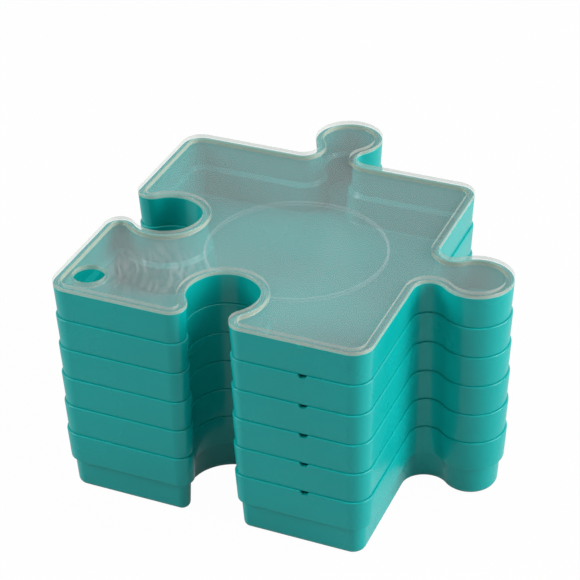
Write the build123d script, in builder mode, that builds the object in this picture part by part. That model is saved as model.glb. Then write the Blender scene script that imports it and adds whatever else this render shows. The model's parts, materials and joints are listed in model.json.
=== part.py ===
"""Stacking jigsaw sorting trays with a clear lid: six nesting trays and one lid.

Every piece follows one outline, a square jigsaw piece with a knob on its right and back sides
and a socket in its left and front sides. The frame stands at the middle of the square, on the
surface the stack rests on: +X and +Y point to the two knobs, +Z up the stack. Millimetres.
"""

import os
from math import asin, atan, degrees, radians, sqrt, tan

from build123d import *

# Jigsaw outline, at the outside of a rim
side = 161.0                # square body, side to side
corner_radius = 10.3
knob_radius = 17.6          # round head of a knob
knob_reach = 24.8           # head's centre, outside the side it grows from
knob_neck = 7.9             # hollow fillet at each side of the neck
socket_radius = 17.8        # round head of a socket, a little larger than a knob
socket_depth = 24.8         # head's centre, inside the side it is sunk in
socket_mouth = 7.7          # rounded lip at each side of the mouth

# Trays
tray_count = 6
stack_pitch = 16.8          # upper wall, so each tray stands this much above the one below
foot_dip = 0.4              # a foot ends this far below the shoulder of the tray it is in
wall = 1.8                  # walls, shoulder and floor alike
wall_draft = 3.2            # degrees, the walls lean in towards the foot
rest_ring = 0.9             # flat ring under the shoulder, which sits on the rim below
foot_step = 1.9             # foot's wall, in from the bottom of the upper wall
shoulder_drop = 1.1         # the shoulder slopes down this far to the foot's wall
foot_edge_radius = 3.0
floor_edge = 1.2            # bevel between the hollow's wall and its floor
lip_edge = 0.3              # broken edges of the rim

# Notch in the front rim, an air gap under the tray or lid above
notch_centre = 49.5
notch_width = 2.4           # at its bottom
notch_depth = 1.6
notch_flare = 35.0          # degrees, sides from upright

# Lid
lid_flange = 2.0            # thickness of the rim that lies on the top tray
lid_overhang = 0.1          # flange, outside the tray's rim
lid_fit = 0.5               # gap between the lid's plug and the top tray's wall
lid_wall = 1.6              # thickness of the plug's wall
lid_recess = 2.5            # top of the flange down to the sunken panel
lid_panel = 1.6             # thickness of the panel
lid_edge = 0.4              # broken edges of the flange
lid_lead_in = 0.5           # bevel that leads the plug into the tray
finger_hole_radius = 7.8
finger_hole_left = 13.0     # hole's centre, in from the left side
finger_hole_front = 19.5    # and in from the front side
collar_wall = 1.4           # collar round the hole
collar_drop = 1.1           # collar's reach below the panel

# Levels and insets that follow
foot_height = stack_pitch + foot_dip
tray_height = foot_height + stack_pitch
foot_top = foot_height - shoulder_drop
shoulder_inset = stack_pitch * tan(radians(wall_draft))
ring_inset = shoulder_inset + rest_ring
foot_inset = shoulder_inset + foot_step
shoulder_slope = atan(shoulder_drop / (foot_step - rest_ring))
ledge = foot_height + wall
ledge_foot = foot_top + wall * tan(radians(45) - shoulder_slope / 2)
lid_rest = tray_height + (tray_count - 1) * stack_pitch
lid_top = lid_rest + lid_flange
panel_top = lid_top - lid_recess
plug_bottom = panel_top - lid_panel
plug_inset = wall + lid_fit
recess_inset = plug_inset + lid_wall


def jigsaw_side(start, direction, inset, head, reach, neck, outward):
    """Draw one side with its knob or socket, and the corner that follows; return that corner.

    outward is 1 for a knob and -1 for a socket. All the centres stay where they are as the
    outline moves in by inset, and only the radii change, so every inset is a true offset.
    """
    swing = 90 + degrees(asin((reach - neck) / (head + neck)))
    half_mouth = sqrt((head + neck) ** 2 - (reach - neck) ** 2)
    run = side / 2 - corner_radius - half_mouth
    neck_now = neck + inset * outward
    head_now = head - inset * outward
    lead_in = Line(start, start + direction * run)
    entry = JernArc(lead_in @ 1, direction, neck_now, -outward * swing)
    bulge = JernArc(entry @ 1, entry % 1, head_now, 2 * outward * swing)
    leave = JernArc(bulge @ 1, bulge % 1, neck_now, -outward * swing)
    lead_out = Line(leave @ 1, leave @ 1 + direction * run)
    return JernArc(lead_out @ 1, direction, corner_radius - inset, 90)


def jigsaw(inset, level):
    """Jigsaw face at a level, moved in from the outside of the rim by inset."""
    socket = (inset, socket_radius, socket_depth, socket_mouth, -1)
    knob = (inset, knob_radius, knob_reach, knob_neck, 1)
    first = Vector(corner_radius - side / 2, inset - side / 2)
    with BuildSketch(Plane.XY.offset(level)) as face:
        with BuildLine():
            front = jigsaw_side(first, Vector(1, 0), *socket)
            right = jigsaw_side(front @ 1, Vector(0, 1), *knob)
            back = jigsaw_side(right @ 1, Vector(-1, 0), *knob)
            jigsaw_side(back @ 1, Vector(0, -1), *socket)
        make_face()
    return face.sketch


def drafted(inset, top, bottom):
    """Inset that a drafted wall has at its bottom."""
    return inset + (top - bottom) * tan(radians(wall_draft))


def stepped_form(steps):
    """Solid of tapering steps, each from one inset and level down to the next.

    A step is (inset, level, inset, level).
    """
    with BuildPart() as form:
        for inset, top, end_inset, bottom in steps:
            add(jigsaw(inset, top))
            lean = degrees(atan((end_inset - inset) / (top - bottom)))
            extrude(amount=bottom - top, taper=lean)
    return form.part


# Tray: upper wall, sloping shoulder and foot, hollowed to an even wall, and a rim notch
outside = [
    (0, tray_height, shoulder_inset, foot_height),
    (ring_inset, foot_height, foot_inset, foot_top),
    (foot_inset, foot_top, drafted(foot_inset, foot_top, 0), 0),
]
ledge_inset = drafted(wall, tray_height, ledge)
hollow_inset = foot_inset + wall
hollow = [
    (wall, tray_height, ledge_inset, ledge),
    (ledge_inset, ledge, hollow_inset, ledge_foot),
    (hollow_inset, ledge_foot, drafted(hollow_inset, ledge_foot, wall), wall),
]
with BuildPart() as tray:
    add(stepped_form(outside))
    fillet(tray.faces().sort_by(Axis.Z)[0].edges(), foot_edge_radius)
    with BuildPart(mode=Mode.SUBTRACT) as room:
        add(stepped_form(hollow))
        chamfer(room.faces().sort_by(Axis.Z)[0].edges(), floor_edge)
    chamfer(tray.faces().sort_by(Axis.Z)[-1].edges(), lip_edge)
    with BuildSketch(Plane.XZ.offset(side / 2)):
        with Locations((notch_centre, tray_height)):
            notch_top = notch_width + 4 * notch_depth * tan(radians(notch_flare))
            Trapezoid(notch_top, 2 * notch_depth, 90 - notch_flare, rotation=180)
    extrude(amount=-2 * wall, both=True, mode=Mode.SUBTRACT)

# Lid: a flange on the rim, a plug inside it and a sunken panel with a finger hole
with BuildPart() as lid:
    add(jigsaw(-lid_overhang, lid_rest))
    extrude(amount=lid_flange)
    add(jigsaw(plug_inset, plug_bottom))
    extrude(amount=lid_rest - plug_bottom)
    add(jigsaw(recess_inset, lid_top))
    extrude(amount=-lid_recess, mode=Mode.SUBTRACT)
    chamfer(lid.faces().sort_by(Axis.Z)[-1].edges(), lid_edge)
    chamfer(lid.faces().sort_by(Axis.Z)[0].edges(), lid_lead_in)
    hole_x = finger_hole_left - side / 2
    hole_y = finger_hole_front - side / 2
    with Locations((hole_x, hole_y, plug_bottom - collar_drop)):
        Cylinder(
            finger_hole_radius + collar_wall,
            collar_drop + lid_panel,
            align=(Align.CENTER, Align.CENTER, Align.MIN),
        )
        Cylinder(
            finger_hole_radius,
            2 * (collar_drop + lid_panel),
            mode=Mode.SUBTRACT,
        )

os.makedirs("parts", exist_ok=True)
for number in range(1, tray_count + 1):
    with BuildPart() as stacked:
        with Locations((0, 0, (number - 1) * stack_pitch)):
            add(tray.part)
    stacked.part.label = f"tray_{number}"
    export_step(stacked.part, f"parts/tray_{number}.step")
lid.part.label = "lid"
export_step(lid.part, "parts/lid.step")
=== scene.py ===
"""Six stacked jigsaw sorting trays with a translucent lid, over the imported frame.

The trays and the lid are modelled from one jigsaw outline, in the frame's own place
and size, and each piece rides on the CAD body that it stands for. Sizes are in
millimetres and turned to metres where Blender takes them.
"""

from __future__ import annotations

import json
import logging
import math
from collections.abc import Callable, Sequence
from dataclasses import dataclass
from enum import Enum

import bpy
from mathutils import Matrix, Vector

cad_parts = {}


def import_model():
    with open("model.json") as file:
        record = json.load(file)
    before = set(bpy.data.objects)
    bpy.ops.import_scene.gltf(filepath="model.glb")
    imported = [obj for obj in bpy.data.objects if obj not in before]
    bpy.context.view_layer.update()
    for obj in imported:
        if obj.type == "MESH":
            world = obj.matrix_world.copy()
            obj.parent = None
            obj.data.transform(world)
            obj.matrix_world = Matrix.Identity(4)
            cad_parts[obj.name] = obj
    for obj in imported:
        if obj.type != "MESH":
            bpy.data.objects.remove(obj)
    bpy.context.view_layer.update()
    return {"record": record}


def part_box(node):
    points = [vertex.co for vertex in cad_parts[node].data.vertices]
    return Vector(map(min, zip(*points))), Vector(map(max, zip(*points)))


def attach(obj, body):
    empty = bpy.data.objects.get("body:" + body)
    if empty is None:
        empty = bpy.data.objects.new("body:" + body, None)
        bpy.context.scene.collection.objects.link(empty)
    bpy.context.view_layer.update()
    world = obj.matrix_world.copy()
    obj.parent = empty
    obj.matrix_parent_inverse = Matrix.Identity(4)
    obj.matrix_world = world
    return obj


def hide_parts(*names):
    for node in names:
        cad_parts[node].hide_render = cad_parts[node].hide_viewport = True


MM = 0.001
MERGE_GAP = 0.002  # vertices closer than this are one
SMOOTH_BELOW = 35.0  # degrees between two faces that are shaded as one
LEVEL_FACE = 0.9  # least upright part of a level face's normal
LOG = logging.getLogger("jigsaw_trays")


# ---------------------------------------------------------------------------
# Edit-mode helpers
# ---------------------------------------------------------------------------
class Element(Enum):
    """What a selection is made of, with Blender's select mode for it."""

    VERTS = (True, False, False)
    EDGES = (False, True, False)
    FACES = (False, False, True)


def edit(mode: str) -> None:
    """Go to the mode, EDIT or OBJECT, if there is an object to change."""
    if bpy.context.object and bpy.context.object.mode != mode:
        bpy.ops.object.mode_set(mode=mode)


def deselect_objects() -> None:
    """Leave every object unselected."""
    edit("OBJECT")
    bpy.ops.object.select_all(action="DESELECT")


def activate(obj: bpy.types.Object) -> None:
    """Make one object the only selected object and the active one.

    Args:
        obj: The object.
    """
    deselect_objects()
    obj.select_set(True)
    bpy.context.view_layer.objects.active = obj


def choose(
    obj: bpy.types.Object, element: Element, wanted: Callable[..., bool]
) -> None:
    """Select the elements of a mesh that a test wants, and enter edit mode.

    Args:
        obj: The mesh object, which is made active.
        element: Whether the test is asked about vertices, edges or faces.
        wanted: Test of one element of the mesh.
    """
    activate(obj)
    mesh = obj.data
    lists = {
        Element.VERTS: mesh.vertices,
        Element.EDGES: mesh.edges,
        Element.FACES: mesh.polygons,
    }
    for elements in lists.values():
        elements.foreach_set("select", [False] * len(elements))
    for item in lists[element]:
        if wanted(item):
            item.select = True
    bpy.context.tool_settings.mesh_select_mode = element.value
    edit("EDIT")


def combine(obj: bpy.types.Object, tool: bpy.types.Object, operation: str) -> None:
    """Join a tool to a mesh or cut it away, and remove the tool.

    Args:
        obj: The mesh object to change.
        tool: The closed mesh to use on it.
        operation: UNION or DIFFERENCE.
    """
    activate(obj)
    bpy.ops.object.modifier_add(type="BOOLEAN")
    modifier = obj.modifiers[-1]
    modifier.operation = operation
    modifier.object = tool
    modifier.solver = "EXACT"
    bpy.ops.object.modifier_apply(modifier=modifier.name)
    bpy.data.objects.remove(tool)


def lead_face(points: Sequence[Vector], facing: float) -> None:
    """Inset the selected face from each point to the next, leaving a wall behind it.

    Args:
        points: Insets and levels, in millimetres.
        facing: 1 where the face looks up and -1 where it looks down.
    """
    for here, there in zip(points, points[1:]):
        bpy.ops.mesh.inset(
            thickness=max(there.x - here.x, 0) * MM,
            depth=(there.y - here.y) * facing * MM,
            use_even_offset=True,
        )


def smooth(obj: bpy.types.Object) -> None:
    """Merge doubles, turn the faces outwards and shade all but sharp edges smooth.

    Args:
        obj: The mesh object to finish.
    """
    choose(obj, Element.VERTS, lambda vertex: True)
    bpy.ops.mesh.remove_doubles(threshold=MERGE_GAP * MM)
    bpy.ops.mesh.normals_make_consistent(inside=False)
    edit("OBJECT")
    bpy.ops.object.shade_smooth_by_angle(angle=math.radians(SMOOTH_BELOW))


# ---------------------------------------------------------------------------
# Outline and profile
# ---------------------------------------------------------------------------
class Pen:
    """Draws an outline of straight runs and arcs from one vertex."""

    CLOSING_GAP = 0.01

    def __init__(self, name: str, start: Vector, heading: Vector) -> None:
        """Put the first vertex down.

        Args:
            name: Name of the object that is drawn.
            start: First point, in millimetres.
            heading: Unit vector that the line sets off along, in the XY plane.
        """
        deselect_objects()
        bpy.ops.mesh.primitive_plane_add(size=MM, location=(0, 0, 0))
        self.obj = bpy.context.object
        self.obj.name = name
        bpy.context.tool_settings.mesh_select_mode = Element.VERTS.value
        edit("EDIT")
        bpy.ops.mesh.merge(type="CENTER")
        bpy.ops.transform.translate(value=start * MM)
        self.place = start.copy()
        self.heading = heading.copy()

    def run(self, length: float) -> None:
        """Draw a straight run along the heading.

        Args:
            length: Length in millimetres.
        """
        step = self.heading * length
        bpy.ops.mesh.extrude_region_move(TRANSFORM_OT_translate={"value": step * MM})
        self.place += step

    def arc(self, radius: float, turn: float, pitch: float) -> None:
        """Draw an arc that leaves along the heading.

        Args:
            radius: Radius in millimetres.
            turn: Angle turned through, in degrees, to the left where positive.
            pitch: Largest angle of one step, in degrees.
        """
        side = math.copysign(1.0, turn)
        to_centre = Vector((-self.heading.y, self.heading.x, 0)) * side * radius
        centre = self.place + to_centre
        bpy.ops.mesh.spin(
            steps=math.ceil(abs(turn) / pitch),
            angle=-math.radians(turn),
            center=centre * MM,
            axis=(0, 0, 1),
        )
        rotation = Matrix.Rotation(math.radians(turn), 3, "Z")
        self.place = centre - rotation @ to_centre
        self.heading = rotation @ self.heading

    def close(self) -> bpy.types.Object:
        """Join the last point to the first and fill the outline.

        Returns:
            The outline's object, which holds one face.
        """
        bpy.ops.mesh.select_all(action="SELECT")
        bpy.ops.mesh.remove_doubles(threshold=self.CLOSING_GAP * MM)
        bpy.ops.mesh.edge_face_add()
        edit("OBJECT")
        return self.obj


class Bend(Enum):
    """Which way a side of the jigsaw outline bends out of its line."""

    KNOB = 1
    SOCKET = -1


@dataclass(frozen=True)
class Tab:
    """A knob or a socket: a round head on a neck with a rounded mouth."""

    bend: Bend
    head: float
    reach: float
    mouth: float


@dataclass(frozen=True)
class JigsawOutline:
    """The square jigsaw piece that trays and lid follow, at the outside of a rim."""

    side: float = 161.0
    corner: float = 10.3
    knob: Tab = Tab(Bend.KNOB, head=17.6, reach=24.8, mouth=7.9)
    socket: Tab = Tab(Bend.SOCKET, head=17.8, reach=24.8, mouth=7.7)
    arc_step: float = 5.0

    def draw(self, name: str, inset: float, level: float) -> bpy.types.Object:
        """Draw the filled outline, moved in from the rim.

        Args:
            name: Name of the new object.
            inset: Distance in from the outside of a rim, in millimetres.
            level: Height of the outline, in millimetres.

        Returns:
            The object, which holds one face.
        """
        start = Vector((self.corner - self.side / 2, inset - self.side / 2, level))
        pen = Pen(name, start, Vector((1, 0, 0)))
        for tab in (self.socket, self.knob, self.knob, self.socket):
            self._side(pen, tab, inset)
        return pen.close()

    def _side(self, pen: Pen, tab: Tab, inset: float) -> None:
        """Draw one side with its tab, and the corner after it.

        Args:
            pen: The pen, at the start of the side.
            tab: Knob or socket of this side.
            inset: Distance in from the rim. The centres stay and only the radii change.
        """
        way = tab.bend.value
        spread = tab.head + tab.mouth
        swing = 90 + math.degrees(math.asin((tab.reach - tab.mouth) / spread))
        half_mouth = math.sqrt(spread**2 - (tab.reach - tab.mouth) ** 2)
        run = self.side / 2 - self.corner - half_mouth
        mouth = tab.mouth + inset * way
        pen.run(run)
        pen.arc(mouth, -way * swing, self.arc_step)
        pen.arc(tab.head - inset * way, 2 * way * swing, self.arc_step)
        pen.arc(mouth, -way * swing, self.arc_step)
        pen.run(run)
        pen.arc(self.corner - inset, 90, self.arc_step)


@dataclass(frozen=True)
class Turn:
    """A corner of a wall's profile: its sharp point and the radius that rounds it."""

    inset: float
    level: float
    radius: float = 0.0

    @property
    def point(self) -> Vector:
        """The sharp point as a vector of inset and level."""
        return Vector((self.inset, self.level))


class Profile:
    """A wall's profile of insets and levels, with its corners rounded."""

    GUARD = 0.3
    GUARD_SHARE = 0.25
    ARC_STEPS = 5

    def __init__(self, turns: Sequence[Turn]) -> None:
        """Keep the corners, first to last."""
        self.turns = list(turns)

    def points(self) -> list[Vector]:
        """Work out the rounded profile.

        Beside each rounded corner a guard point is added on both flanks, within its
        share of the flank, so that smooth shading stays on the rounding and the walls
        look flat.

        Returns:
            Points of inset and level, in millimetres.
        """
        found = [self.turns[0].point]
        for before, turn, after in zip(self.turns, self.turns[1:], self.turns[2:]):
            found += self._rounding(before.point, turn, after.point)
        return found + [self.turns[-1].point]

    def _rounding(self, before: Vector, turn: Turn, after: Vector) -> list[Vector]:
        """Points of one corner.

        Args:
            before: Corner before it.
            turn: The corner itself.
            after: Corner after it.

        Returns:
            The sharp point alone, or the guard points with the arc between them.
        """
        if not turn.radius:
            return [turn.point]
        guard_in, guard_out = (
            min(self.GUARD, (turn.point - other).length * self.GUARD_SHARE)
            for other in (before, after)
        )
        into = (turn.point - before).normalized()
        out = (after - turn.point).normalized()
        bend = into.angle(out)
        reach = turn.radius * math.tan(bend / 2)
        first = turn.point - into * reach
        side = 1.0 if into.x * out.y - into.y * out.x > 0 else -1.0
        centre = first + Vector((-into.y, into.x)) * side * turn.radius
        arc = []
        for step in range(self.ARC_STEPS + 1):
            turned = Matrix.Rotation(side * bend * step / self.ARC_STEPS, 2)
            arc.append(centre + turned @ (first - centre))
        return [first - into * guard_in, *arc, arc[-1] + out * guard_out]


# ---------------------------------------------------------------------------
# Trays
# ---------------------------------------------------------------------------
@dataclass
class SortingTray:
    """One moulded tray: upper wall, shoulder that seats on the rim below, and foot."""

    outline: JigsawOutline
    height: float
    pitch: float
    wall: float = 1.8
    draft: float = 3.2
    rest_ring: float = 0.9
    foot_step: float = 1.9
    shoulder_drop: float = 1.1
    foot_edge: float = 3.0
    lip_radius: float = 0.7
    lip_steps: int = 4
    lip_sharpness: float = 60.0
    wall_edge: float = 0.3
    notch_centre: float = 49.5
    notch_width: float = 2.4
    notch_depth: float = 1.6
    notch_flare: float = 35.0

    def profile(self, skin: float) -> Profile:
        """Profile of one side of the wall, from the rim down.

        Args:
            skin: 0 for the outside and the wall's thickness for the hollow.

        Returns:
            The profile, with the same even wall behind every corner.
        """
        slope = math.tan(math.radians(self.draft))
        tilt = math.atan(self.shoulder_drop / (self.foot_step - self.rest_ring))
        step = self.pitch * slope
        ring = self.height - self.pitch + skin
        foot = self.height - self.pitch - self.shoulder_drop
        foot += skin * math.tan(math.pi / 4 - tilt / 2)
        foot_inset = step + self.foot_step + skin
        floor_inset = foot_inset + (foot - skin) * slope
        foot_edge = self.foot_edge - skin
        seat = [] if skin else [Turn(step + self.rest_ring, ring, self.wall_edge / 2)]
        return Profile(
            [
                Turn(skin, self.height),
                Turn(skin + (self.height - ring) * slope, ring, self.wall_edge),
                *seat,
                Turn(foot_inset, foot, self.wall_edge),
                Turn(floor_inset, skin, foot_edge),
                Turn(floor_inset + foot_edge + Profile.GUARD, skin),
            ]
        )

    def build(self) -> bpy.types.Object:
        """Model the lowest tray.

        Returns:
            The tray's object, at the origin with its place in its mesh.
        """
        tray = self._shell("moulded_tray_1", 0, facing=-1)
        hollow = self._shell("hollow", self.wall, facing=1)
        activate(tray)
        hollow.select_set(True)
        bpy.ops.object.join()
        self._bridge_rim(tray)
        self._round_lip(tray)
        self._cut_notch(tray)
        smooth(tray)
        return tray

    def _shell(self, name: str, skin: float, facing: float) -> bpy.types.Object:
        """Model one side of the wall, from an outline at the rim.

        Args:
            name: Name of the object.
            skin: 0 for the outside and the wall's thickness for the hollow.
            facing: Way that the surface looks, 1 for up and -1 for down.

        Returns:
            The side's object, open at the rim.
        """
        shell = self.outline.draw(name, skin, self.height)
        choose(shell, Element.FACES, lambda face: True)
        if shell.data.polygons[0].normal.z * facing < 0:
            bpy.ops.mesh.flip_normals()
        lead_face(self.profile(skin).points(), facing)
        edit("OBJECT")
        return shell

    def stack(self, lowest: bpy.types.Object, number: int) -> bpy.types.Object:
        """Copy the lowest tray up the stack.

        Args:
            lowest: Tray number 1.
            number: Place in the stack, 2 or more.

        Returns:
            The copy, with a mesh of its own.
        """
        activate(lowest)
        bpy.ops.object.duplicate(linked=False)
        copy = bpy.context.object
        copy.name = f"moulded_tray_{number}"
        lift = (number - 1) * self.pitch * MM
        bpy.ops.transform.translate(value=(0, 0, lift))
        bpy.ops.object.transform_apply(location=True, rotation=False, scale=False)
        return copy

    def _bridge_rim(self, tray: bpy.types.Object) -> None:
        """Join the outside to the hollow with a flat rim.

        Args:
            tray: The tray, both sides of its wall in one mesh.
        """
        choose(tray, Element.EDGES, lambda edge: False)
        bpy.ops.mesh.select_non_manifold(extend=False)
        bpy.ops.mesh.bridge_edge_loops()
        bpy.ops.mesh.select_all(action="SELECT")
        bpy.ops.mesh.normals_make_consistent(inside=False)
        edit("OBJECT")

    def _round_lip(self, tray: bpy.types.Object) -> None:
        """Round the outer and the inner edge of the rim.

        Args:
            tray: The tray, whose only sharp edges are the rim's.
        """
        choose(tray, Element.EDGES, lambda edge: False)
        bpy.ops.mesh.edges_select_sharp(sharpness=math.radians(self.lip_sharpness))
        bpy.ops.mesh.bevel(
            offset=self.lip_radius * MM, segments=self.lip_steps, affect="EDGES"
        )
        edit("OBJECT")

    def _cut_notch(self, tray: bpy.types.Object) -> None:
        """Cut the air notch in the front of the rim with a flared block.

        The block's middle is at the rim, so it is twice as high as the notch is deep.

        Args:
            tray: The tray.
        """
        deselect_objects()
        flare = math.tan(math.radians(self.notch_flare))
        block_height = 2 * self.notch_depth
        top_width = self.notch_width + 2 * block_height * flare
        front = -self.outline.side / 2
        bpy.ops.mesh.primitive_cube_add(
            size=1, location=Vector((self.notch_centre, front, self.height)) * MM
        )
        cutter = bpy.context.object
        cutter.scale = Vector((top_width, 4 * self.wall, block_height)) * MM
        bpy.ops.object.transform_apply(location=True, rotation=False, scale=True)
        middle = self.height * MM
        choose(cutter, Element.VERTS, lambda vertex: vertex.co.z < middle)
        bpy.ops.transform.resize(
            value=(self.notch_width / top_width, 1, 1),
            center_override=(self.notch_centre * MM, 0, 0),
        )
        edit("OBJECT")
        combine(tray, cutter, "DIFFERENCE")


# ---------------------------------------------------------------------------
# Lid
# ---------------------------------------------------------------------------
@dataclass
class ClearLid:
    """The moulded lid: flange on the rim, plug, sunken panel and finger hole."""

    outline: JigsawOutline
    rest: float
    top: float
    overhang: float = 0.1
    plug_inset: float = 2.3
    wall: float = 1.6
    recess: float = 2.5
    panel: float = 1.6
    edge: float = 0.5
    rest_edge: float = 0.2
    draft: float = 0.1
    side_lean: float = 0.001
    hole_radius: float = 7.8
    hole_left: float = 13.0
    hole_front: float = 19.5
    hole_edge: float = 0.35
    hole_edge_steps: int = 4
    collar_wall: float = 1.4
    collar_drop: float = 1.1
    collar_root: float = 0.8
    collar_edge: float = 0.3
    collar_edge_steps: int = 3
    cutter_reach: float = 10.0
    drum_sides: int = 96

    def build(self) -> bpy.types.Object:
        """Model the lid.

        Returns:
            The lid's object, at the origin with its place in its mesh.
        """
        lid = self.outline.draw("clear_lid", -self.overhang, self.rest)
        choose(lid, Element.FACES, lambda face: True)
        rise = (self.top - self.rest - self.edge - Profile.GUARD) * MM
        bpy.ops.mesh.extrude_region_move(
            TRANSFORM_OT_translate={"value": (0, 0, rise)}
        )
        bpy.ops.mesh.select_all(action="SELECT")
        bpy.ops.mesh.normals_make_consistent(inside=False)
        edit("OBJECT")
        self._sink_panel(lid)
        self._sink_plug(lid)
        self._add_collar(lid)
        self._cut_hole(lid)
        smooth(lid)
        return lid

    @property
    def panel_top(self) -> float:
        """Level of the sunken panel."""
        return self.top - self.recess

    def _sink_panel(self, lid: bpy.types.Object) -> None:
        """Lead the top face over the flange's edges and down to the panel.

        Args:
            lid: The lid, still a plain slab.
        """
        choose(lid, Element.FACES, lambda face: face.normal.z > LEVEL_FACE)
        wall = self.plug_inset + self.wall
        face_level = self.top - self.edge - Profile.GUARD
        corners = Profile(
            [
                Turn(-self.overhang, face_level - Profile.GUARD),
                Turn(-self.overhang + self.side_lean, self.top, self.edge),
                Turn(wall, self.top, self.edge),
                Turn(wall + self.draft, self.panel_top, self.edge),
                Turn(wall + 3 * self.edge, self.panel_top),
            ]
        ).points()
        # The slab's top face already lies above the foot of this profile
        corners[0] = Vector((-self.overhang, face_level))
        lead_face(corners, facing=1)
        edit("OBJECT")

    def _sink_plug(self, lid: bpy.types.Object) -> None:
        """Lead the underside in to the plug and down to the panel's underside.

        Args:
            lid: The lid, with its panel sunk.
        """
        choose(lid, Element.FACES, lambda face: face.normal.z < -LEVEL_FACE)
        low = self.panel_top - self.panel
        profile = Profile(
            [
                Turn(-self.overhang, self.rest),
                Turn(self.plug_inset, self.rest, self.rest_edge),
                Turn(self.plug_inset + self.draft, low, self.edge),
                Turn(self.plug_inset + 4 * self.edge, low),
            ]
        )
        lead_face(profile.points(), facing=-1)
        edit("OBJECT")

    def _hole_centre(self, level: float) -> Vector:
        """Centre of the finger hole at a level, in metres."""
        half = self.outline.side / 2
        return Vector((self.hole_left - half, self.hole_front - half, level)) * MM

    def _drum(self, radius: float, low: float, high: float) -> bpy.types.Object:
        """Add a closed drum round the finger hole's centre.

        Args:
            radius: Radius in millimetres.
            low: Level of its underside.
            high: Level of its top.

        Returns:
            The drum's object.
        """
        deselect_objects()
        bpy.ops.mesh.primitive_cylinder_add(
            vertices=self.drum_sides,
            radius=radius * MM,
            depth=(high - low) * MM,
            location=self._hole_centre((low + high) / 2),
        )
        bpy.ops.object.transform_apply(location=True)
        return bpy.context.object

    def _add_collar(self, lid: bpy.types.Object) -> None:
        """Join the collar under the panel to the lid.

        Args:
            lid: The lid, with its panel and plug.
        """
        radius = self.hole_radius + self.collar_wall
        low = self.panel_top - self.panel - self.collar_drop
        collar = self._drum(radius, low, self.panel_top - self.collar_root)
        choose(collar, Element.FACES, lambda face: face.normal.z < -LEVEL_FACE)
        bpy.ops.mesh.bevel(
            offset=self.collar_edge * MM,
            segments=self.collar_edge_steps,
            affect="EDGES",
        )
        edit("OBJECT")
        combine(lid, collar, "UNION")

    def _cut_hole(self, lid: bpy.types.Object) -> None:
        """Cut the finger hole and round its upper edge.

        Args:
            lid: The lid, with its collar.
        """
        cutter = self._drum(
            self.hole_radius,
            self.panel_top - self.cutter_reach,
            self.panel_top + self.cutter_reach,
        )
        combine(lid, cutter, "DIFFERENCE")
        level, radius = self.panel_top * MM, self.hole_radius * MM
        level_slack, radius_slack = 0.02 * MM, 0.05 * MM
        centre = self._hole_centre(self.panel_top)
        vertices = lid.data.vertices

        def on_rim(edge: bpy.types.MeshEdge) -> bool:
            """Tell an edge of the hole at the panel's top.

            Args:
                edge: An edge of the lid.

            Returns:
                True where both its ends lie on the hole's upper edge.
            """
            ends = [vertices[index].co for index in edge.vertices]
            return all(
                abs(end.z - level) < level_slack
                and abs((end - centre).xy.length - radius) < radius_slack
                for end in ends
            )

        choose(lid, Element.EDGES, on_rim)
        bpy.ops.mesh.bevel(
            offset=self.hole_edge * MM, segments=self.hole_edge_steps, affect="EDGES"
        )
        edit("OBJECT")


# ---------------------------------------------------------------------------
# Finishes
# ---------------------------------------------------------------------------
def linear(colour: str) -> tuple[float, float, float, float]:
    """Turn an sRGB hex colour to linear.

    Args:
        colour: Six hex digits, with or without a hash sign.

    Returns:
        Linear red, green and blue, and an alpha of 1.
    """
    digits = colour.lstrip("#")
    parts = [int(digits[at : at + 2], 16) / 255 for at in (0, 2, 4)]
    channels = [
        part / 12.92 if part <= 0.04045 else ((part + 0.055) / 1.055) ** 2.4
        for part in parts
    ]
    return (*channels, 1.0)


def add_node(
    tree: bpy.types.NodeTree,
    kind: str,
    inputs: dict[str | int, object] | None = None,
    **settings: object,
) -> bpy.types.Node:
    """Add a node with its settings and links.

    Args:
        tree: Node tree that takes it.
        kind: Blender's name of the node type.
        inputs: Value or output socket for each input, by name or number.
        settings: Values for the node's own fields.

    Returns:
        The node.
    """
    node = tree.nodes.new(kind)
    for name, value in settings.items():
        setattr(node, name, value)
    for name, value in (inputs or {}).items():
        if isinstance(value, bpy.types.NodeSocket):
            tree.links.new(value, node.inputs[name])
        else:
            node.inputs[name].default_value = value
    return node


def new_material(name: str) -> tuple[bpy.types.Material, bpy.types.NodeTree]:
    """Make a node material with no nodes in it.

    Args:
        name: Name of the material.

    Returns:
        The material and its node tree.
    """
    material = bpy.data.materials.new(name)
    material.use_nodes = True
    material.node_tree.nodes.clear()
    return material, material.node_tree


def ray_share(
    tree: bpy.types.NodeTree, shares: dict[str, float]
) -> bpy.types.NodeSocket:
    """Tell rays that show the background from rays that only gather light.

    Args:
        tree: Node tree of the floor's material or of the world.
        shares: How far each kind of ray sees plain white, by its Light Path output.

    Returns:
        The share of white, 0 for kinds that aren't named.
    """
    path = add_node(tree, "ShaderNodeLightPath").outputs
    share = None
    for kind, part in shares.items():
        inputs = {0: path[kind], 1: part}
        seen = add_node(tree, "ShaderNodeMath", inputs, operation="MULTIPLY")
        if share is not None:
            both = {0: share, 1: seen.outputs["Value"]}
            seen = add_node(tree, "ShaderNodeMath", both, operation="MAXIMUM")
        share = seen.outputs["Value"]
    return share


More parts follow.
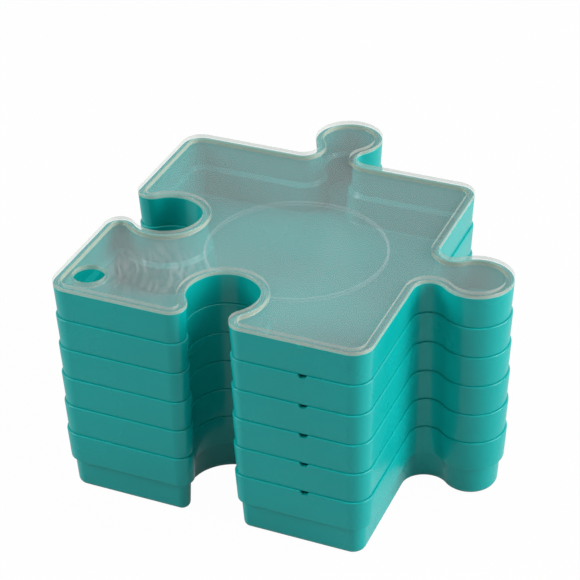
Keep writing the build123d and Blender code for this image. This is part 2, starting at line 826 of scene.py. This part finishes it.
@dataclass(frozen=True)
class MouldedStyrene:
    """High-impact polystyrene, injection moulded in a polished tool, dyed teal."""

    colour: str = "#06A8A4"
    roughness: float = 0.24
    glossier: float = 0.05
    duller: float = 0.06
    tone_drift: float = 0.04
    index: float = 1.5
    gloss_level: float = 0.28
    # Features to a metre: patches 45 mm wide, level lines 33 mm long and 0.7 mm
    # apart, and scuffs 55 mm long and 1.4 mm wide before they are turned
    shade_scale: float = 22.0
    line_scale: tuple[float, float, float] = (30.0, 30.0, 1400.0)
    scuff_scale: tuple[float, float, float] = (18.0, 60.0, 700.0)
    scuff_turn: float = 38.0
    line_depth: float = 0.02
    scuff_depth: float = 0.03
    relief: float = 0.15

    def make(self) -> bpy.types.Material:
        """Build the trays' material.

        Returns:
            The material.
        """
        # A clean even dye with a soft gloss: broad reflections on flat walls, faint
        # level polishing lines left by the tool, and slanting scuffs from stacking.
        material, tree = new_material("teal_moulded_polystyrene")
        place = add_node(tree, "ShaderNodeTexCoord").outputs["Object"]
        across = add_node(
            tree, "ShaderNodeMapping", {"Vector": place, "Scale": self.line_scale}
        )
        lines = add_node(
            tree,
            "ShaderNodeTexNoise",
            {"Vector": across.outputs["Vector"], "Scale": 1.0, "Detail": 3.0},
        )
        slant = add_node(
            tree,
            "ShaderNodeMapping",
            {
                "Vector": place,
                "Rotation": (0.0, math.radians(self.scuff_turn), 0.0),
                "Scale": self.scuff_scale,
            },
        )
        scuffs = add_node(
            tree,
            "ShaderNodeTexNoise",
            {"Vector": slant.outputs["Vector"], "Scale": 1.0, "Detail": 4.0},
        )
        shade = add_node(
            tree,
            "ShaderNodeTexNoise",
            {"Vector": place, "Scale": self.shade_scale, "Detail": 2.0},
        )
        gloss = add_node(
            tree,
            "ShaderNodeMapRange",
            {
                "Value": shade.outputs["Fac"],
                "From Min": 0.3,
                "From Max": 0.7,
                "To Min": self.roughness - self.glossier,
                "To Max": self.roughness + self.duller,
            },
        )
        tone = add_node(
            tree,
            "ShaderNodeMapRange",
            {
                "Value": shade.outputs["Fac"],
                "From Min": 0.2,
                "From Max": 0.8,
                "To Min": 1 - self.tone_drift,
                "To Max": 1 + self.tone_drift,
            },
        )
        colour = add_node(
            tree,
            "ShaderNodeHueSaturation",
            {"Color": linear(self.colour), "Value": tone.outputs["Result"]},
        )
        bump = add_node(
            tree,
            "ShaderNodeBump",
            {
                "Height": lines.outputs["Fac"],
                "Distance": self.line_depth * MM,
                "Strength": self.relief,
            },
        )
        bump = add_node(
            tree,
            "ShaderNodeBump",
            {
                "Height": scuffs.outputs["Fac"],
                "Distance": self.scuff_depth * MM,
                "Strength": self.relief,
                "Normal": bump.outputs["Normal"],
            },
        )
        shader = add_node(
            tree,
            "ShaderNodeBsdfPrincipled",
            {
                "Base Color": colour.outputs["Color"],
                "Roughness": gloss.outputs["Result"],
                "Normal": bump.outputs["Normal"],
                "IOR": self.index,
                "Specular IOR Level": self.gloss_level,
            },
        )
        add_node(
            tree, "ShaderNodeOutputMaterial", {"Surface": shader.outputs["BSDF"]}
        )
        return material


@dataclass(frozen=True)
class MilkyPolypropylene:
    """Natural polypropylene, injection moulded thin, so that it is clear but milky."""

    colour: str = "#C3D0D0"
    edge_colour: str = "#E0DFCD"
    cover: float = 0.22
    clearer: float = 0.05
    milkier: float = 0.3
    edge_cover: float = 0.42
    roughness: float = 0.16
    index: float = 1.49
    # Painted reflection: a thin lighter ring of thicker haze on the panel, in mm
    reflection_ring_centre: tuple[float, float, float] = (15.7, -4.8, 0.0)
    reflection_ring_radius: float = 44.3
    reflection_ring_width: float = 0.9
    swirl_centre: tuple[float, float, float] = (-67.5, -61.0, 0.0)
    swirl_middle: tuple[float, float, float] = (-38.0, -46.0, 0.0)
    swirl_reach: float = 32.0
    # Rings 4.2 mm apart, because the wave turns 20 radians for each unit of scale
    swirl_scale: float = 75.0
    # Features to a metre: patches 22 mm wide
    patch_scale: float = 45.0
    flow_depth: float = 0.05
    flow_relief: float = 0.5

    def make(self) -> bpy.types.Material:
        """Build the lid's material.

        Returns:
            The material.
        """
        # Milky haze over what lies under it, thicker and warmer where a rim is looked
        # at through its edge, with a waxy gloss, the marks of the flow in the mould,
        # and
        # a painted reflection: a thin lighter ring of thicker haze on the panel.
        material, tree = new_material("milky_moulded_polypropylene")
        place = add_node(tree, "ShaderNodeTexCoord").outputs["Object"]
        level = add_node(
            tree, "ShaderNodeMapping", {"Vector": place, "Scale": (1, 1, 0)}
        )
        flow = self._flow_marks(tree, level.outputs["Vector"])
        # The ring is a painted reflection, summed with the real flow marks into the
        # haze
        ring = self._painted_ring_reflection(tree, level.outputs["Vector"])
        marks = add_node(tree, "ShaderNodeMath", {0: flow, 1: ring}, operation="ADD")
        haze = add_node(
            tree,
            "ShaderNodeMapRange",
            {
                "Value": marks.outputs["Value"],
                "From Max": 2.0,
                "To Min": self.cover - self.clearer,
                "To Max": self.cover + self.milkier,
            },
        )
        edge = self._edge_on(tree)
        cover = add_node(
            tree,
            "ShaderNodeMapRange",
            {
                "Value": edge,
                "To Min": haze.outputs["Result"],
                "To Max": self.edge_cover,
            },
        )
        tint = add_node(
            tree,
            "ShaderNodeMix",
            {"Factor": edge, 6: linear(self.colour), 7: linear(self.edge_colour)},
            data_type="RGBA",
        )
        bump = add_node(
            tree,
            "ShaderNodeBump",
            {
                "Height": flow,
                "Distance": self.flow_depth * MM,
                "Strength": self.flow_relief,
            },
        )
        shader = add_node(
            tree,
            "ShaderNodeBsdfPrincipled",
            {
                "Base Color": tint.outputs[2],
                "Roughness": self.roughness,
                "IOR": self.index,
                "Alpha": cover.outputs["Result"],
                "Normal": bump.outputs["Normal"],
            },
        )
        add_node(
            tree, "ShaderNodeOutputMaterial", {"Surface": shader.outputs["BSDF"]}
        )
        return material

    def _flow_marks(
        self, tree: bpy.types.NodeTree, level: bpy.types.NodeSocket
    ) -> bpy.types.NodeSocket:
        """Curved streaks about 4 mm apart round the finger hole, which come and go.

        Args:
            tree: Node tree that takes the nodes.
            level: Place on the panel, in metres, with no height.

        Returns:
            Strength of the marks, from 0 to 1.
        """
        shift = tuple(-part * MM for part in self.swirl_centre)
        bent = add_node(tree, "ShaderNodeMapping", {"Vector": level, "Location": shift})
        streaks = add_node(
            tree,
            "ShaderNodeTexWave",
            {
                "Vector": bent.outputs["Vector"],
                "Scale": self.swirl_scale,
                "Distortion": 9.0,
                "Detail": 3.0,
                "Detail Scale": 2.0,
            },
            wave_type="RINGS",
            rings_direction="Z",
        )
        middle = tuple(part * MM for part in self.swirl_middle)
        span = add_node(
            tree, "ShaderNodeVectorMath", {0: level, 1: middle}, operation="DISTANCE"
        )
        near = add_node(
            tree,
            "ShaderNodeMapRange",
            {
                "Value": span.outputs["Value"],
                "From Min": self.swirl_reach * MM,
                "From Max": self.swirl_reach * MM / 3,
            },
        )
        patches = add_node(
            tree,
            "ShaderNodeTexNoise",
            {"Vector": level, "Scale": self.patch_scale, "Detail": 1.0},
        )
        where = add_node(
            tree,
            "ShaderNodeMapRange",
            {
                "Value": patches.outputs["Fac"],
                "From Min": 0.32,
                "From Max": 0.62,
                "To Max": near.outputs["Result"],
            },
        )
        marks = add_node(
            tree,
            "ShaderNodeMath",
            {0: streaks.outputs["Fac"], 1: where.outputs["Result"]},
            operation="MULTIPLY",
        )
        return marks.outputs["Value"]

    def _painted_ring_reflection(
        self, tree: bpy.types.NodeTree, level: bpy.types.NodeSocket
    ) -> bpy.types.NodeSocket:
        """Painted reflection: a thin, lighter round line of thicker haze on the panel.

        Args:
            tree: Node tree that takes the nodes.
            level: Place on the panel, in metres, with no height.

        Returns:
            Strength of the line, from 0 to 1.
        """
        centre = tuple(part * MM for part in self.reflection_ring_centre)
        span = add_node(
            tree, "ShaderNodeVectorMath", {0: level, 1: centre}, operation="DISTANCE"
        )
        off = add_node(
            tree,
            "ShaderNodeMath",
            {0: span.outputs["Value"], 1: self.reflection_ring_radius * MM},
            operation="SUBTRACT",
        )
        away = add_node(
            tree, "ShaderNodeMath", {0: off.outputs["Value"]}, operation="ABSOLUTE"
        )
        line = add_node(
            tree,
            "ShaderNodeMapRange",
            {
                "Value": away.outputs["Value"],
                "From Max": self.reflection_ring_width * MM,
                "To Min": 1.0,
                "To Max": 0.0,
            },
        )
        return line.outputs["Result"]

    def _edge_on(self, tree: bpy.types.NodeTree) -> bpy.types.NodeSocket:
        """Tell the upright faces of the rim from the level ones.

        Args:
            tree: Node tree that takes the nodes.

        Returns:
            1 on an upright face and 0 on a level one.
        """
        normal = add_node(tree, "ShaderNodeNewGeometry").outputs["Normal"]
        rise = add_node(tree, "ShaderNodeSeparateXYZ", {"Vector": normal}).outputs["Z"]
        rise = add_node(tree, "ShaderNodeMath", {0: rise}, operation="ABSOLUTE")
        upright = add_node(
            tree,
            "ShaderNodeMapRange",
            {
                "Value": rise.outputs["Value"],
                "From Min": 0.95,
                "From Max": 0.3,
            },
        )
        return upright.outputs["Result"]


@dataclass(frozen=True)
class StudioPaper:
    """Matt white paper sweep that the stack stands on."""

    colour: str = "#C8C8C8"
    glow: float = 0.98
    mirrored_glow: float = 0.4

    def make(self) -> bpy.types.Material:
        """Build the floor's material.

        Returns:
            The material.
        """
        # Plain white with no gloss, and the stack's faint shadow on it.
        material, tree = new_material("matt_white_paper")
        share = ray_share(
            tree,
            {
                "Is Camera Ray": self.glow,
                "Is Glossy Ray": self.mirrored_glow,
                "Is Transmission Ray": self.glow,
            },
        )
        paper = add_node(tree, "ShaderNodeBsdfDiffuse", {"Color": linear(self.colour)})
        white = add_node(tree, "ShaderNodeEmission", {"Strength": 1.0})
        mix = add_node(
            tree,
            "ShaderNodeMixShader",
            {
                "Fac": share,
                1: paper.outputs["BSDF"],
                2: white.outputs["Emission"],
            },
        )
        add_node(tree, "ShaderNodeOutputMaterial", {"Surface": mix.outputs["Shader"]})
        return material


# ---------------------------------------------------------------------------
# Studio
# ---------------------------------------------------------------------------
@dataclass(frozen=True)
class PhotoCamera:
    """The camera at the photograph's place, in millimetres and degrees."""

    target: tuple[float, float, float] = (29.94, -46.648, 122.252)
    azimuth: float = 23.476
    elevation: float = 32.997
    roll: float = -1.236
    distance: float = 886.31
    focal_pixels: float = 1921.816
    frame_pixels: float = 580.0
    sensor: float = 36.0
    nearest: float = 50.0
    farthest: float = 20000.0

    def add(self) -> None:
        """Add the camera and make it the scene's own."""
        around, above = math.radians(self.azimuth), math.radians(self.elevation)
        back = Vector(
            (
                math.sin(around) * math.cos(above),
                -math.cos(around) * math.cos(above),
                math.sin(above),
            )
        )
        place = (Vector(self.target) + back * self.distance) * MM
        turn = (-back).to_track_quat("-Z", "Y").to_matrix().to_4x4()
        turn = turn @ Matrix.Rotation(math.radians(self.roll), 4, "Z")
        deselect_objects()
        bpy.ops.object.camera_add()
        camera = bpy.context.object
        camera.name = "photo_camera"
        camera.matrix_world = Matrix.Translation(place) @ turn
        camera.data.sensor_width = self.sensor
        camera.data.lens = self.focal_pixels / self.frame_pixels * self.sensor
        camera.data.clip_start = self.nearest * MM
        camera.data.clip_end = self.farthest * MM
        bpy.context.scene.camera = camera


@dataclass(frozen=True)
class Softbox:
    """One large soft lamp, aimed at the stack, in metres and watts."""

    name: str
    place: tuple[float, float, float]
    width: float
    height: float
    power: float
    aim: tuple[float, float, float] = (0.0, 0.0, 0.06)

    def add(self) -> None:
        """Add the lamp."""
        deselect_objects()
        bpy.ops.object.light_add(type="AREA", location=self.place)
        lamp = bpy.context.object
        lamp.name = self.name
        lamp.data.shape = "RECTANGLE"
        lamp.data.size, lamp.data.size_y = self.width, self.height
        lamp.data.energy = self.power
        ray = Vector(self.aim) - Vector(self.place)
        lamp.rotation_euler = ray.to_track_quat("-Z", "Y").to_euler()


@dataclass(frozen=True)
class Studio:
    """White room: floor, world and lamps, in metres."""

    ambient: float = 0.16
    floor_side: float = 8.0
    lamps: tuple[Softbox, ...] = (
        Softbox("right_softbox", (1.45, 0.3, 0.75), 1.2, 1.2, 32.0),
        Softbox("left_front_softbox", (-1.3, -0.6, 0.95), 0.8, 0.8, 18.0),
        Softbox("top_softbox", (0.1, 0.3, 1.8), 1.4, 1.4, 8.0),
    )

    def build(self) -> None:
        """Add the floor, the world and the lamps."""
        deselect_objects()
        bpy.ops.mesh.primitive_plane_add(size=self.floor_side, location=(0, 0, 0))
        floor = bpy.context.object
        floor.name = "paper_sweep"
        floor.data.materials.append(StudioPaper().make())
        self._light_world()
        for lamp in self.lamps:
            lamp.add()

    def _light_world(self) -> None:
        """White to cameras and reflections, and a plain even fill to the rest."""
        world = bpy.data.worlds.new("white_room")
        bpy.context.scene.world = world
        world.use_nodes = True
        tree = world.node_tree
        tree.nodes.clear()
        kinds = ("Is Camera Ray", "Is Glossy Ray", "Is Transmission Ray")
        seen = ray_share(tree, dict.fromkeys(kinds, 1.0))
        strength = add_node(
            tree,
            "ShaderNodeMapRange",
            {"Value": seen, "To Min": self.ambient, "To Max": 1.0},
        )
        shader = add_node(
            tree,
            "ShaderNodeBackground",
            {"Color": (1, 1, 1, 1), "Strength": strength.outputs["Result"]},
        )
        add_node(
            tree, "ShaderNodeOutputWorld", {"Surface": shader.outputs["Background"]}
        )


# ---------------------------------------------------------------------------
# The whole set
# ---------------------------------------------------------------------------
class TraySet:
    """The six trays and the lid, taken from the frame's levels."""

    def __init__(self, record: dict) -> None:
        """Read the levels from the frame.

        Args:
            record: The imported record, whose bodies name the pieces.
        """
        self.tray_names = sorted(n for n in record["behaviour"]["bodies"] if n != "lid")
        first_low, first_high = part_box(self.tray_names[0])
        second_low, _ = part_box(self.tray_names[1])
        _, last_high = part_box(self.tray_names[-1])
        _, lid_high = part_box("lid")
        outline = JigsawOutline()
        self.tray = SortingTray(
            outline,
            height=(first_high.z - first_low.z) / MM,
            pitch=(second_low.z - first_low.z) / MM,
        )
        self.lid = ClearLid(outline, rest=last_high.z / MM, top=lid_high.z / MM)

    def build(self) -> None:
        """Model, dress and place every piece."""
        tray_finish = MouldedStyrene().make()
        lowest = self.tray.build()
        trays = [lowest]
        for number in range(2, len(self.tray_names) + 1):
            trays.append(self.tray.stack(lowest, number))
        for piece, node in zip(trays, self.tray_names):
            self._hand_over(piece, node, tray_finish)
        lid = self.lid.build()
        self._hand_over(lid, "lid", MilkyPolypropylene().make())

    def _hand_over(
        self,
        piece: bpy.types.Object,
        node: str,
        finish: bpy.types.Material,
    ) -> None:
        """Dress a piece and let it stand for its CAD node.

        Args:
            piece: The finished mesh object.
            node: CAD node, and body, of the same name.
            finish: Material of the piece.
        """
        piece.data.materials.clear()
        piece.data.materials.append(finish)
        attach(piece, node)
        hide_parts(node)
        LOG.info("%s: %d faces", piece.name, len(piece.data.polygons))


def main() -> None:
    """Load the frame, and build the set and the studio."""
    logging.basicConfig(level=logging.INFO, format="%(name)s %(message)s")
    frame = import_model()
    deselect_objects()
    TraySet(frame["record"]).build()
    Studio().build()
    PhotoCamera().add()
    scene = bpy.context.scene
    scene.view_settings.view_transform = "Standard"
    deselect_objects()
    bpy.context.view_layer.update()


if __name__ == "__main__":
    main()
